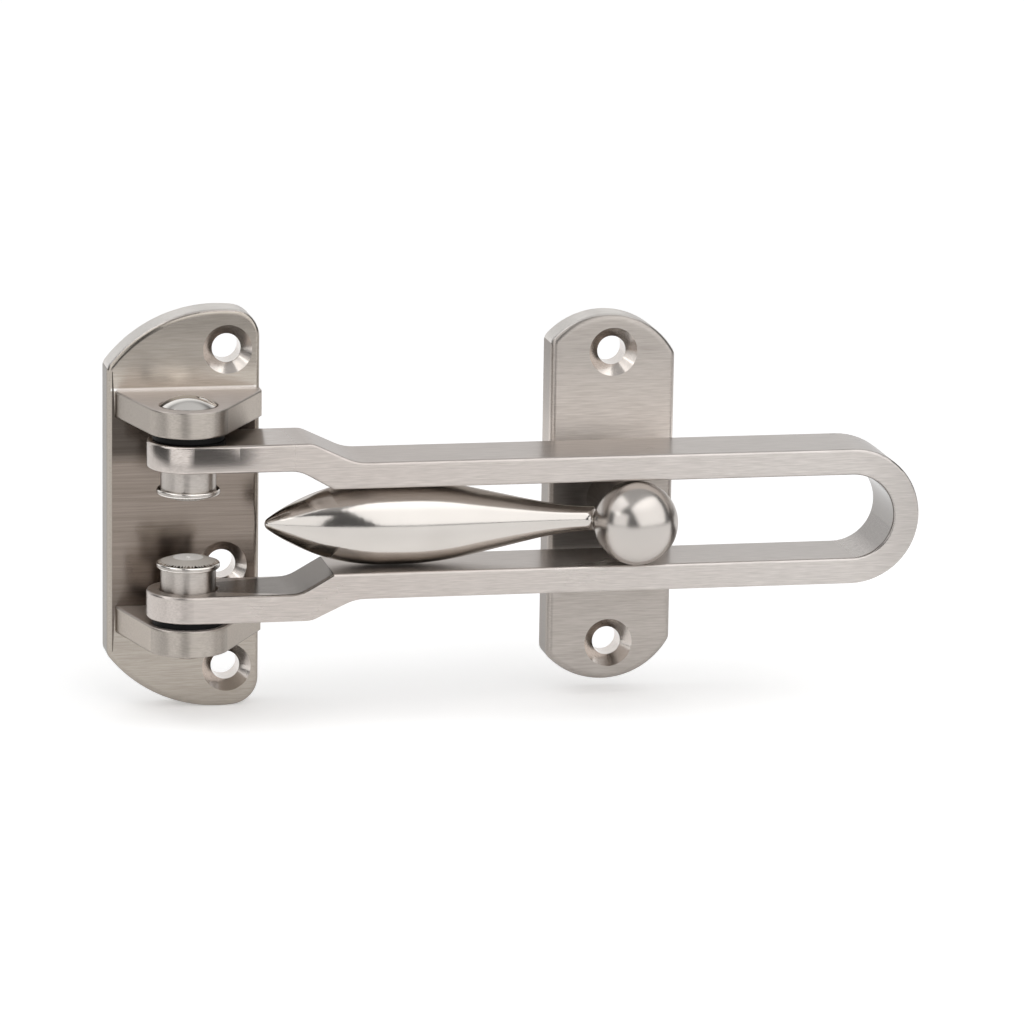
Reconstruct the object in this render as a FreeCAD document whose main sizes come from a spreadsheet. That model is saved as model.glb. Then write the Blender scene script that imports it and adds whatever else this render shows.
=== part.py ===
import FreeCAD, Part
import math
import os

import Sketcher

# Swing bar door guard, in millimetres. X runs along the bar, -Y points into the room, Z is up.
# The origin lies on the back face of the hinge plate, behind the pivot axis and at half height.

SIZES = (
    ("plate_left", 12.5, "hinge plate, pivot axis to left edge"),
    ("plate_right", 14.8, "hinge plate, pivot axis to right edge"),
    ("screw_land", 14.3, "hinge plate, end of the arch beyond each ear"),
    ("plate_thick", 6.5, "hinge plate, back face to front face"),
    ("plate_arch", 25.0, "hinge plate, radius of the arched ends"),
    ("plate_crown", 7.6, "hinge plate, pivot axis to the crown of the arch"),
    ("plate_left_corner", 2.0, "hinge plate, corner radius at the left edge"),
    ("plate_right_corner", 5.0, "hinge plate, corner radius at the right edge"),
    ("plate_edge_round", 1.0, "hinge plate, rounding of the front edge"),
    ("end_hole_offset", 9.0, "hinge plate, pivot axis to the end screws"),
    ("end_hole_rise", 7.05, "hinge plate, end screws beyond the ears"),
    ("mid_hole_offset", 8.2, "hinge plate, pivot axis to the third screw"),
    ("mid_hole_rise", 6.85, "hinge plate, third screw above the lower ear"),
    ("screw_hole_dia", 5.2, "clearance hole of every mounting screw"),
    ("countersink_dia", 8.8, "mouth of the right-angled countersinks"),
    ("ear_gap", 34.3, "clear height between the two ears"),
    ("ear_thick", 4.8, "thickness of one ear"),
    ("ear_left_inset", 1.4, "left foot of the ear, in from the plate edge"),
    ("ear_end_depth", 2.2, "flat end of the ear, out from the plate front"),
    ("ear_edge_round", 0.4, "rounding of the ear edges"),
    ("knuckle_radius", 7.4, "ear tips and bar ends, round the pivot axis"),
    ("pivot_stand", 20.2, "pivot axis, out from the mounting plane"),
    ("pin_dia", 9.8, "pivot pin shank"),
    ("pin_seat_clear", 0.02, "radial clearance of a seated pin or screw"),
    ("pin_run_clear", 0.06, "radial running clearance of the bar on its pins"),
    ("pin_dome_rise", 1.7, "height of the domed outer end of a pin"),
    ("pin_show", 3.85, "pin shank seen between bar and flange"),
    ("pin_flange_dia", 11.2, "flange at the inner end of a pin"),
    ("pin_flange_thick", 0.9, "rim of that flange"),
    ("pin_flange_round", 0.3, "rounding of the flange rim"),
    ("pin_cap_rise", 0.9, "cone from the rim to the flat of the cap"),
    ("pin_cap_flat", 5.9, "diameter of the flat on the cap"),
    ("pin_centre_dia", 0.9, "turning centre in the flat of the cap"),
    ("pin_centre_depth", 0.4, "depth of the turning centre"),
    ("hole_chamfer", 0.35, "chamfer of the pin holes"),
    ("washer_dia", 12.6, "thrust washer between ear and bar"),
    ("washer_thick", 1.1, "thickness of the thrust washer"),
    ("washer_bore_clear", 0.15, "radial clearance of the washer on its pin"),
    ("washer_play", 0.1, "play between thrust washer and bar"),
    ("bar_thick", 4.7, "thickness of the long arms seen from the front"),
    ("bar_tail_thick", 4.95, "thickness of the bar ends on the pins"),
    ("bar_reach", 131.0, "pivot axis to the far end of the loop"),
    ("slot_height", 15.2, "clear height of the long slot"),
    ("bend_inner", 18.7, "pivot axis to the inner start of the bend"),
    ("bend_inner_run", 6.0, "length of the bend along the bar, inside"),
    ("bend_outer", 20.9, "pivot axis to the outer start of the bend"),
    ("bend_outer_run", 7.8, "length of the bend along the bar, outside"),
    ("bend_crest_round", 4.0, "radius of the outer crest of the bend"),
    ("bend_hollow_round", 8.0, "radius of the outer hollow of the bend"),
    ("bend_mouth_round", 6.0, "radius of the inner hollow of the bend"),
    ("bend_lip_round", 0.6, "radius of the lip where the slot begins"),
    ("bar_edge_round", 0.5, "rounding of the long bar edges"),
    ("keeper_offset", 79.1, "pivot axis to the middle of the keeper plate"),
    ("keeper_width", 22.9, "keeper plate, edge to edge"),
    ("keeper_height", 67.5, "keeper plate, over both arched ends"),
    ("keeper_thick", 6.5, "keeper plate, back face to front face"),
    ("keeper_arch", 14.0, "keeper plate, radius of the arched ends"),
    ("keeper_crown", 0.85, "keeper plate, crown of the arch to the left of the screws"),
    ("keeper_corner", 2.0, "keeper plate, corner radius"),
    ("keeper_edge_round", 1.2, "keeper plate, rounding of the front edge"),
    ("keeper_hole_inset", 6.85, "keeper plate, screws in from the arched ends"),
    ("ball_dia", 15.0, "ball on the keeper"),
    ("ball_stand", 27.2, "ball centre, out from the mounting plane"),
    ("stem_dia", 9.0, "stem that carries the ball"),
    ("arm_set_back", 4.4, "arm axis, behind the ball centre"),
    ("arm_tilt", 3.0, "degrees that the arm leans to the mounting plane"),
    ("arm_length", 65.5, "ball centre to the nose of the arm"),
    ("arm_dia", 15.0, "largest diameter of the arm"),
    ("arm_nose_round", 1.2, "radius of the blunt nose"),
    ("arm_nose_length", 20.5, "nose to the start of the full diameter"),
    ("arm_full_length", 3.5, "length at full diameter"),
    ("arm_shoulder_length", 12.0, "curve from full diameter into the taper"),
    ("arm_waist_length", 10.9, "curve from the taper into the neck"),
    ("neck_length", 6.2, "start of the neck to the ball centre"),
    ("neck_dia", 4.4, "neck between arm and ball"),
    ("neck_root_round", 1.2, "fillet where the neck meets the ball"),
    ("bolt_dia", 4.0, "screw that holds the stem to the keeper plate"),
    ("bolt_clear", 0.25, "radial clearance of that screw in the plate"),
    ("bolt_head_dia", 8.0, "countersunk head of that screw"),
    ("bolt_sink", 0.2, "head below the back face of the plate"),
    ("bolt_grip", 8.0, "length of that screw inside the stem"),
    ("bolt_socket", 2.5, "hexagon socket of that screw, across flats"),
    ("bolt_socket_depth", 1.4, "depth of the hexagon socket"),
    ("bolt_tap_spare", 1.0, "tapped hole, deeper than the screw"),
)

doc = FreeCAD.newDocument("swing_bar_door_guard")
sheet = doc.addObject("Spreadsheet::Sheet", "Sizes")
for row, (alias, value, meaning) in enumerate(SIZES, 1):
    sheet.set("A%d" % row, meaning)
    sheet.set("B%d" % row, str(value))
    sheet.setAlias("B%d" % row, alias)
doc.recompute()


def size(alias):
    """Value of one driving dimension."""
    return float(sheet.get(alias))


def bound(text):
    """An expression on the sheet: every word of the text is one of its sizes."""
    words = text.replace("(", "( ").replace(")", " )").split()
    return " ".join("Sizes." + word if word[0].isalpha() else word for word in words)


# Expressions that several pieces share.
BAR_OUT = "ear_gap / 2 - washer_thick - washer_play"
BAR_IN = BAR_OUT + " - bar_tail_thick"
SLOT_IN = "slot_height / 2"
SLOT_OUT = "slot_height / 2 + bar_thick"
EAR_OUT = "ear_gap / 2 + ear_thick"
ARM_TAPER = "arm_length - arm_nose_length - arm_full_length - neck_length"
PIN_SEAT_DIA = "pin_dia + 2 * pin_seat_clear"
PIN_RUN_DIA = "pin_dia + 2 * pin_run_clear"
SINK = "( countersink_dia - screw_hole_dia ) / 2"
START, END, CENTRE = range(1, 4)
ACROSS, UPRIGHT = range(-1, -3, -1)
ORIGIN = (ACROSS, START)
NEAR = 1e-4


def measure(text):
    """Number that an expression on the sheet gives now."""
    value = sheet.evalExpression(bound(text))
    return float(getattr(value, "Value", value))


def new_body(label):
    body = doc.addObject("PartDesign::Body", label)
    body.Label = label
    return body


def place(body, **where):
    """Ties the place of a body to the sheet, axis by axis."""
    for axis, text in where.items():
        body.setExpression("Placement.Base." + axis, bound(text))


def origin_plane(body, role):
    return next(feature for feature in body.Origin.OriginFeatures if feature.Role == role)


def new_sketch(body, role, name, raised=None):
    """Sketch on one of the body's own planes, raised along the normal if a text is given."""
    sketch = body.newObject("Sketcher::SketchObject", name)
    sketch.AttachmentSupport = [(origin_plane(body, role), "")]
    sketch.MapMode = "FlatFace"
    if raised:
        sketch.setExpression("AttachmentOffset.Base.z", bound(raised))
    return sketch


def fix(sketch, kind, *where):
    """Adds a dimension whose last item is an expression on the sheet."""
    text = where[-1]
    index = sketch.addConstraint(Sketcher.Constraint(kind, *where[:-1], measure(text)))
    sketch.setExpression("Constraints[%d]" % index, bound(text))


def tie(sketch, kind, *where):
    """Adds a constraint that has no value."""
    sketch.addConstraint(Sketcher.Constraint(kind, *where))


def point(x, y):
    return FreeCAD.Vector(x, y, 0)


def line(x0, y0, x1, y1):
    return Part.LineSegment(point(x0, y0), point(x1, y1))


def arc(x, y, radius, start, end):
    """Arc that runs anticlockwise from one angle, in radians, to the other."""
    return Part.ArcOfCircle(Part.Circle(point(x, y), FreeCAD.Vector(0, 0, 1), radius), start, end)


def chain(sketch, pieces, smooth=(), closed=True):
    """Adds pieces end to end. Joints are numbered by the piece before them, and smooth ones are tangent."""
    first = sketch.GeometryCount
    for piece in pieces:
        sketch.addGeometry(piece, False)
    joints = len(pieces) if closed else len(pieces) - 1
    for joint in range(joints):
        here, there = joint, (joint + 1) % len(pieces)
        ends = [(START, pieces[here].StartPoint), (END, pieces[here].EndPoint)]
        heads = [(START, pieces[there].StartPoint), (END, pieces[there].EndPoint)]
        pairs = [(a[1].distanceToPoint(b[1]), a[0], b[0]) for a in ends for b in heads]
        gap, tail, head = min(pairs)
        kind = "Tangent" if joint in smooth else "Coincident"
        tie(sketch, kind, first + here, tail, first + there, head)
    return first


def circle(sketch, x, y, diameter):
    """Circle whose centre and diameter are expressions. None puts the centre on that axis."""
    across = measure(x) if x else 0.0
    up = measure(y) if y else 0.0
    shape = Part.Circle(point(across, up), FreeCAD.Vector(0, 0, 1), measure(diameter) / 2)
    index = sketch.addGeometry(shape, False)
    fix(sketch, "Diameter", index, diameter)
    centre = (index, CENTRE)
    if x:
        fix(sketch, "DistanceX", *ORIGIN, *centre, x)
    else:
        tie(sketch, "PointOnObject", *centre, UPRIGHT)
    if y:
        fix(sketch, "DistanceY", *ORIGIN, *centre, y)
    else:
        tie(sketch, "PointOnObject", *centre, ACROSS)


def pad(body, sketch, name, length, both_ways=False, backwards=False):
    feature = body.newObject("PartDesign::Pad", name)
    feature.Profile = sketch
    feature.Midplane = both_ways
    feature.Reversed = backwards
    feature.setExpression("Length", bound(length))
    doc.recompute()
    return feature


def cut_through(body, sketch, name):
    """Pocket through everything on both sides of the sketch."""
    before = body.Shape.Volume
    feature = body.newObject("PartDesign::Pocket", name)
    feature.Profile = sketch
    feature.Type = "ThroughAll"
    feature.Midplane = True
    doc.recompute()
    check_cut(body, name, before)
    return feature


def check_cut(body, name, before):
    if not body.Shape.Volume < before - NEAR:
        raise RuntimeError(name + " cuts nothing")


def revolve(body, sketch, name, axis):
    feature = body.newObject("PartDesign::Revolution", name)
    feature.Profile = sketch
    feature.ReferenceAxis = (sketch, [axis])
    feature.Angle = 360
    doc.recompute()
    return feature


def pick(feature, test):
    """Names of the edges that pass a test on the edge and its middle point."""
    names = []
    for number, edge in enumerate(feature.Shape.Edges, 1):
        if edge.Degenerated:
            continue
        middle = edge.valueAt((edge.FirstParameter + edge.LastParameter) / 2)
        if test(edge, middle):
            names.append("Edge%d" % number)
    return names


def dress(body, kind, name, test, text):
    """Fillet or chamfer of the picked edges."""
    base = body.Tip
    names = pick(base, test)
    if not names:
        raise RuntimeError(name + " finds no edge")
    feature = body.newObject("PartDesign::" + kind, name)
    feature.Base = (base, names)
    feature.setExpression("Radius" if kind == "Fillet" else "Size", bound(text))
    doc.recompute()
    return feature


def runs_along(edge, axis):
    """True for a straight edge along X, Y or Z, given as 0, 1 or 2."""
    if edge.Curve.TypeId != "Part::GeomLine":
        return False
    return abs(abs(edge.Curve.Direction[axis]) - 1) < NEAR


def is_ring(edge, diameter):
    """True for a circular edge of the diameter that the text gives."""
    if edge.Curve.TypeId != "Part::GeomCircle":
        return False
    return abs(edge.Curve.Radius * 2 - measure(diameter)) < NEAR


def arched_plate(label, left, right, height, thick, arch, crown, corners, edge_round):
    """Upright plate with arched ends, its back on the mounting plane and its front edge rounded."""
    body = new_body(label)
    sketch = new_sketch(body, "XZ_Plane", label + "_outline")
    x0, x1, radius = -measure(left), measure(right), measure(arch)
    cx = measure(crown)
    cz = measure(height) / 2 - radius
    z0 = cz + math.sqrt(radius ** 2 - (x0 - cx) ** 2)
    z1 = cz + math.sqrt(radius ** 2 - (x1 - cx) ** 2)
    a0 = math.atan2(z0 - cz, x0 - cx)
    a1 = math.atan2(z1 - cz, x1 - cx)
    chain(sketch, [
        line(x0, -z0, x0, z0),
        arc(cx, cz, radius, a1, a0),
        line(x1, z1, x1, -z1),
        arc(cx, -cz, radius, -a0, -a1),
    ])
    left_edge, top, right_edge, bottom = range(4)
    tie(sketch, "Vertical", left_edge)
    tie(sketch, "Vertical", right_edge)
    tie(sketch, "Equal", top, bottom)
    tie(sketch, "Symmetric", top, CENTRE, bottom, CENTRE, ACROSS)
    fix(sketch, "Radius", top, arch)
    fix(sketch, "DistanceX", left_edge, START, *ORIGIN, left)
    fix(sketch, "DistanceX", *ORIGIN, right_edge, START, right)
    fix(sketch, "DistanceY", *ORIGIN, top, CENTRE, "( " + height + " ) / 2 - " + arch)
    fix(sketch, "DistanceX", *ORIGIN, top, CENTRE, crown)
    pad(body, sketch, label + "_blank", thick)
    for x, name, text in ((x0, "_left_corners", corners[0]), (x1, "_right_corners", corners[1])):
        dress(body, "Fillet", label + name,
              lambda edge, mid, x=x: runs_along(edge, 1) and abs(mid.x - x) < NEAR, text)
    face = -measure(thick)
    dress(body, "Fillet", label + "_front_edge", lambda edge, mid: abs(mid.y - face) < NEAR, edge_round)
    return body


def countersunk_holes(body, label, places, thick):
    """Screw holes through a plate, with right-angled countersinks on its front."""
    sketch = new_sketch(body, "XZ_Plane", label + "_hole_centres")
    for x, z in places:
        circle(sketch, x, z, "screw_hole_dia")
    cut_through(body, sketch, label + "_screw_holes")
    face = -measure(thick)
    dress(body, "Chamfer", label + "_countersinks",
          lambda edge, mid: is_ring(edge, "screw_hole_dia") and abs(mid.y - face) < NEAR, SINK)


def touching_angle(x, y, side):
    """Angle on the ear tip where a line from the given point touches it."""
    dy = y + size("pivot_stand")
    opening = math.acos(size("knuckle_radius") / math.hypot(x, dy))
    return math.atan2(dy, x) + side * opening


def add_ears(body):
    """Two tapered ears that carry the pivot pins, with straight flanks that touch the round tip."""
    foot = "plate_left - ear_left_inset"
    end_depth = "plate_thick + ear_end_depth"
    root = "plate_thick / 2"
    xl, xr = -measure(foot), size("plate_right")
    y_root, y_face, y_end = -measure(root), -size("plate_thick"), -measure(end_depth)
    radius, stand = size("knuckle_radius"), size("pivot_stand")
    a0 = touching_angle(xl, y_face, 1)
    a1 = touching_angle(xr, y_end, -1)
    tip = arc(0, -stand, radius, a0, a1)
    left_touch, right_touch = tip.StartPoint, tip.EndPoint
    sketch = new_sketch(body, "XY_Plane", "ear_plan", raised="ear_gap / 2")
    chain(sketch, [
        line(xl, y_root, xl, y_face),
        line(xl, y_face, left_touch.x, left_touch.y),
        tip,
        line(right_touch.x, right_touch.y, xr, y_end),
        line(xr, y_end, xr, y_root),
        line(xr, y_root, xl, y_root),
    ], smooth=(1, 2))
    left_side, left_flank, round_tip, right_flank, right_end, back = range(6)
    tie(sketch, "Vertical", left_side)
    tie(sketch, "Vertical", right_end)
    tie(sketch, "Horizontal", back)
    tie(sketch, "PointOnObject", round_tip, CENTRE, UPRIGHT)
    fix(sketch, "Radius", round_tip, "knuckle_radius")
    fix(sketch, "DistanceY", round_tip, CENTRE, *ORIGIN, "pivot_stand")
    fix(sketch, "DistanceX", left_side, START, *ORIGIN, foot)
    fix(sketch, "DistanceY", left_side, END, *ORIGIN, "plate_thick")
    fix(sketch, "DistanceX", *ORIGIN, right_end, START, "plate_right")
    fix(sketch, "DistanceY", right_end, START, *ORIGIN, end_depth)
    fix(sketch, "DistanceY", back, START, *ORIGIN, root)
    upper = pad(body, sketch, "upper_ear", "ear_thick")
    both = body.newObject("PartDesign::Mirrored", "both_ears")
    both.Originals = [upper]
    both.MirrorPlane = (origin_plane(body, "XY_Plane"), [""])
    body.Tip = both
    doc.recompute()
    levels = (measure("ear_gap / 2"), measure(EAR_OUT))
    dress(body, "Fillet", "ear_edges",
          lambda edge, mid: min(abs(abs(mid.z) - level) for level in levels) < NEAR and mid.y < y_end - NEAR,
          "ear_edge_round")
    bore_pins(body, "ear", PIN_SEAT_DIA, (EAR_OUT,))


def bore_pins(body, name, diameter, chamfered_levels):
    """Bore on the pivot axis, chamfered where it meets the faces at the given heights."""
    sketch = new_sketch(body, "XY_Plane", name + "_pin_centre")
    circle(sketch, None, "0 - pivot_stand", diameter)
    cut_through(body, sketch, name + "_pin_bore")
    levels = [measure(text) for text in chamfered_levels]
    dress(body, "Chamfer", name + "_pin_chamfer",
          lambda edge, mid: is_ring(edge, diameter)
          and min(abs(abs(mid.z) - level) for level in levels) < NEAR, "hole_chamfer")


def make_hinge_plate():
    height = "ear_gap + 2 * ( ear_thick + screw_land )"
    end_hole = EAR_OUT + " + end_hole_rise"
    body = arched_plate("hinge_plate", "plate_left", "plate_right", height, "plate_thick",
                        "plate_arch", "plate_crown", ("plate_left_corner", "plate_right_corner"),
                        "plate_edge_round")
    add_ears(body)
    countersunk_holes(body, "hinge_plate", [
        ("end_hole_offset", end_hole),
        ("end_hole_offset", "0 - ( " + end_hole + " )"),
        ("mid_hole_offset", "mid_hole_rise - ear_gap / 2"),
    ], "plate_thick")
    return body


def bar_blank(body):
    """Prism of the bar seen from above: a straight run with a round end about the pivot axis."""
    radius, stand = size("knuckle_radius"), size("pivot_stand")
    far = "bar_reach + bar_thick"
    x_far = measure(far)
    sketch = new_sketch(body, "XY_Plane", "bar_plan")
    chain(sketch, [
        arc(0, -stand, radius, math.pi / 2, 3 * math.pi / 2),
        line(0, -stand - radius, x_far, -stand - radius),
        line(x_far, -stand - radius, x_far, -stand + radius),
        line(x_far, -stand + radius, 0, -stand + radius),
    ], smooth=(0, 3))
    round_end, front, far_end, back = range(4)
    tie(sketch, "Horizontal", front)
    tie(sketch, "Horizontal", back)
    tie(sketch, "Vertical", far_end)
    tie(sketch, "PointOnObject", round_end, CENTRE, UPRIGHT)
    fix(sketch, "Radius", round_end, "knuckle_radius")
    fix(sketch, "DistanceY", round_end, CENTRE, *ORIGIN, "pivot_stand")
    fix(sketch, "DistanceX", *ORIGIN, front, END, far)
    pad(body, sketch, "bar_blank", "2 * ( " + BAR_OUT + " + bar_thick )", both_ways=True)


def frame_round(sketch, left, right, half_height):
    """Rectangle about the X axis that encloses the blank."""
    x0, x1, z = -measure(left), measure(right), measure(half_height)
    first = chain(sketch, [
        line(x0, -z, x1, -z),
        line(x1, -z, x1, z),
        line(x1, z, x0, z),
        line(x0, z, x0, -z),
    ])
    low, far, high, near = range(first, first + 4)
    tie(sketch, "Horizontal", low)
    tie(sketch, "Horizontal", high)
    tie(sketch, "Vertical", far)
    tie(sketch, "Vertical", near)
    fix(sketch, "DistanceX", low, START, *ORIGIN, left)
    fix(sketch, "DistanceX", *ORIGIN, low, END, right)
    fix(sketch, "DistanceY", *ORIGIN, high, START, half_height)
    fix(sketch, "DistanceY", low, START, *ORIGIN, half_height)


def bar_front_outline(sketch):
    """The bar seen from the front: a wide mouth at the pivots, a bend, and a long slot with a round end."""
    tail = "knuckle_radius + bar_thick"
    loop = "bar_reach - slot_height / 2 - bar_thick"
    inner_end, outer_end = "bend_inner + bend_inner_run", "bend_outer + bend_outer_run"
    texts = (tail, "bend_inner", inner_end, "bend_outer", outer_end, loop)
    xs, ji, ki, jo, ko, cx = (measure(text) for text in texts)
    zi, zo, si, so = (measure(text) for text in (BAR_IN, BAR_OUT, SLOT_IN, SLOT_OUT))
    half_turn = (-math.pi / 2, math.pi / 2)
    first = chain(sketch, [
        line(-xs, zi, -xs, zo),
        line(-xs, zo, jo, zo),
        line(jo, zo, ko, so),
        line(ko, so, cx, so),
        arc(cx, 0, so, *half_turn),
        line(cx, -so, ko, -so),
        line(ko, -so, jo, -zo),
        line(jo, -zo, -xs, -zo),
        line(-xs, -zo, -xs, -zi),
        line(-xs, -zi, ji, -zi),
        line(ji, -zi, ki, -si),
        line(ki, -si, cx, -si),
        arc(cx, 0, si, *half_turn),
        line(cx, si, ki, si),
        line(ki, si, ji, zi),
        line(ji, zi, -xs, zi),
    ], smooth=(3, 4, 11, 12))
    tail_up, top, top_bend, top_arm, loop_out, low_arm, low_bend, low, tail_low = range(first, first + 9)
    low_in, low_in_bend, low_in_arm, loop_in, in_arm, in_bend, top_in = range(first + 9, first + 16)
    for upper, lower in (((tail_up, START), (tail_low, END)), ((tail_up, END), (tail_low, START)),
                         ((top, END), (low, START)), ((top_bend, END), (low_bend, START)),
                         ((top_in, START), (low_in, END)), ((in_bend, START), (low_in_bend, END))):
        tie(sketch, "Symmetric", *upper, *lower, ACROSS)
    tie(sketch, "Vertical", tail_up)
    for level in (top, top_arm, low_arm, top_in, in_arm, low_in_arm):
        tie(sketch, "Horizontal", level)
    tie(sketch, "Vertical", loop_out, CENTRE, loop_in, CENTRE)
    fix(sketch, "DistanceX", tail_up, START, *ORIGIN, tail)
    fix(sketch, "DistanceY", *ORIGIN, tail_up, START, BAR_IN)
    fix(sketch, "DistanceY", *ORIGIN, tail_up, END, BAR_OUT)
    fix(sketch, "DistanceX", *ORIGIN, top, END, "bend_outer")
    fix(sketch, "DistanceX", top_bend, START, top_bend, END, "bend_outer_run")
    fix(sketch, "DistanceX", *ORIGIN, top_in, START, "bend_inner")
    fix(sketch, "DistanceX", in_bend, END, in_bend, START, "bend_inner_run")
    fix(sketch, "DistanceX", *ORIGIN, loop_out, CENTRE, loop)
    fix(sketch, "Radius", loop_out, SLOT_OUT)
    fix(sketch, "Radius", loop_in, SLOT_IN)


def make_swing_bar():
    body = new_body("swing_bar")
    bar_blank(body)
    sketch = new_sketch(body, "XZ_Plane", "bar_front")
    frame_round(sketch, "knuckle_radius + 2 * bar_thick", "bar_reach + 2 * bar_thick",
                BAR_OUT + " + 2 * bar_thick")
    bar_front_outline(sketch)
    cut_through(body, sketch, "bar_outline")
    corners = (
        ("bar_crests", "bend_outer", BAR_OUT, "bend_crest_round"),
        ("bar_hollows", "bend_outer + bend_outer_run", SLOT_OUT, "bend_hollow_round"),
        ("bar_mouth", "bend_inner", BAR_IN, "bend_mouth_round"),
        ("bar_lips", "bend_inner + bend_inner_run", SLOT_IN, "bend_lip_round"),
    )
    for name, x, z, radius in corners:
        spot = (measure(x), measure(z))
        dress(body, "Fillet", name, lambda edge, mid: runs_along(edge, 1)
              and abs(mid.x - spot[0]) < NEAR and abs(abs(mid.z) - spot[1]) < NEAR, radius)
    faces = (measure("0 - pivot_stand - knuckle_radius"), measure("0 - pivot_stand + knuckle_radius"))
    dress(body, "Fillet", "bar_edges", lambda edge, mid: not runs_along(edge, 2) and not runs_along(edge, 1)
          and (min(abs(mid.y - face) for face in faces) < NEAR or mid.x < -NEAR), "bar_edge_round")
    bore_pins(body, "bar", PIN_RUN_DIA, (BAR_IN, BAR_OUT))
    return body


def make_pin(label, upside_down):
    """Turned pivot pin: domed outer end, shank, and a flange with a shallow conical cap inside."""
    body = new_body(label)
    if upside_down:
        body.Placement.Rotation = FreeCAD.Rotation(FreeCAD.Vector(1, 0, 0), 180)
    place(body, y="0 - pivot_stand")
    rim = BAR_IN + " - pin_show"
    cone = rim + " - pin_flange_thick"
    flat = cone + " - pin_cap_rise"
    zs = [measure(text) for text in (flat + " + pin_centre_depth", flat, flat, cone, rim, rim, EAR_OUT)]
    widths = ("pin_centre_dia", "pin_cap_flat", "pin_flange_dia", "pin_flange_dia", "pin_dia", "pin_dia")
    rs = [0.0] + [measure(text) / 2 for text in widths]
    rise, half = size("pin_dome_rise"), size("pin_dia") / 2
    dome = (half ** 2 + rise ** 2) / (2 * rise)
    top = zs[-1] + rise
    sketch = new_sketch(body, "XZ_Plane", label + "_profile")
    pieces = [line(rs[i], zs[i], rs[i + 1], zs[i + 1]) for i in range(6)]
    pieces.append(arc(0, top - dome, dome, math.asin((dome - rise) / dome), math.pi / 2))
    pieces.append(line(0, top, 0, zs[0]))
    chain(sketch, pieces)
    centre, disc, slope, edge, step, shank, crown, axis = range(8)
    tie(sketch, "PointOnObject", axis, START, UPRIGHT)
    tie(sketch, "PointOnObject", axis, END, UPRIGHT)
    tie(sketch, "PointOnObject", crown, CENTRE, UPRIGHT)
    tie(sketch, "Horizontal", disc)
    tie(sketch, "Horizontal", step)
    tie(sketch, "Vertical", edge)
    tie(sketch, "Vertical", shank)
    for piece, text in ((centre, "pin_centre_dia"), (disc, "pin_cap_flat"), (slope, "pin_flange_dia"),
                        (step, "pin_dia")):
        fix(sketch, "DistanceX", *ORIGIN, piece, END, text + " / 2")
    for piece, text in ((centre, flat), (slope, cone), (edge, rim), (shank, EAR_OUT),
                        (crown, EAR_OUT + " + pin_dome_rise")):
        fix(sketch, "DistanceY", *ORIGIN, piece, END, text)
    fix(sketch, "DistanceY", centre, END, centre, START, "pin_centre_depth")
    revolve(body, sketch, label + "_turned", "V_Axis")
    dress(body, "Fillet", label + "_rim", lambda edge, mid: is_ring(edge, "pin_flange_dia"),
          "pin_flange_round")
    return body


def make_washer(label, level):
    body = new_body(label)
    place(body, y="0 - pivot_stand", z=level)
    sketch = new_sketch(body, "XY_Plane", label + "_plan")
    circle(sketch, None, None, "washer_dia")
    circle(sketch, None, None, "pin_dia + 2 * washer_bore_clear")
    pad(body, sketch, label + "_ring", "washer_thick")
    return body


def make_keeper_plate():
    half = "keeper_width / 2"
    body = arched_plate("keeper_plate", half, half, "keeper_height", "keeper_thick", "keeper_arch",
                        "0 - keeper_crown", ("keeper_corner", "keeper_corner"), "keeper_edge_round")
    countersunk_holes(body, "keeper_plate", [
        (None, "keeper_height / 2 - keeper_hole_inset"),
        (None, "keeper_hole_inset - keeper_height / 2"),
    ], "keeper_thick")
    through = "bolt_dia + 2 * bolt_clear"
    sketch = new_sketch(body, "XZ_Plane", "stem_screw_centre")
    circle(sketch, None, None, through)
    cut_through(body, sketch, "stem_screw_hole")
    dress(body, "Chamfer", "stem_screw_countersink",
          lambda edge, mid: is_ring(edge, through) and abs(mid.y) < NEAR, "( bolt_head_dia - bolt_dia ) / 2")
    place(body, x="keeper_offset")
    return body


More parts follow.
